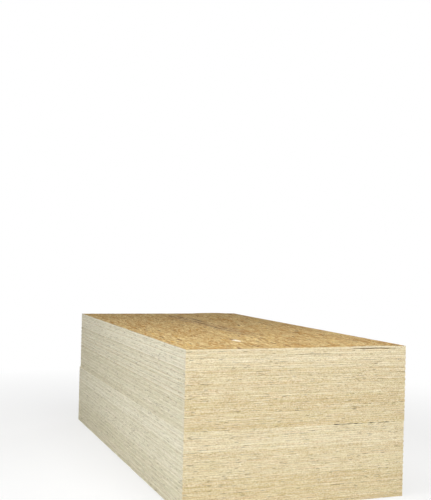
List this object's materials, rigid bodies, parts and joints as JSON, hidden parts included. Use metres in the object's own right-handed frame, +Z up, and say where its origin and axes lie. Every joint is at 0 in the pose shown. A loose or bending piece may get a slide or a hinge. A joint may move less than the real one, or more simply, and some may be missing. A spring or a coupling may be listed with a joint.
{
  "type": "osb panel stack",
  "caption": "Two packs of oriented strand board panels lying flat one on the other, with a loose, slightly bowed panel on top. Raw sheathing stock for building.",
  "frame": {"origin": "middle of the underside, on the floor", "axes": "+X along the panels' length, +Y along their width, +Z up through the stack"},
  "size_m": [2.444, 1.2284, 0.7918],
  "materials": {
    "osb": "pressed wood strands with sawn edges, matt, with a faint waxy sheen on the faces"
  },
  "bodies": {
    "root": {"lower_pack": "osb", "upper_pack": "osb", "loose_panel": "osb"}
  },
  "joints": []
}
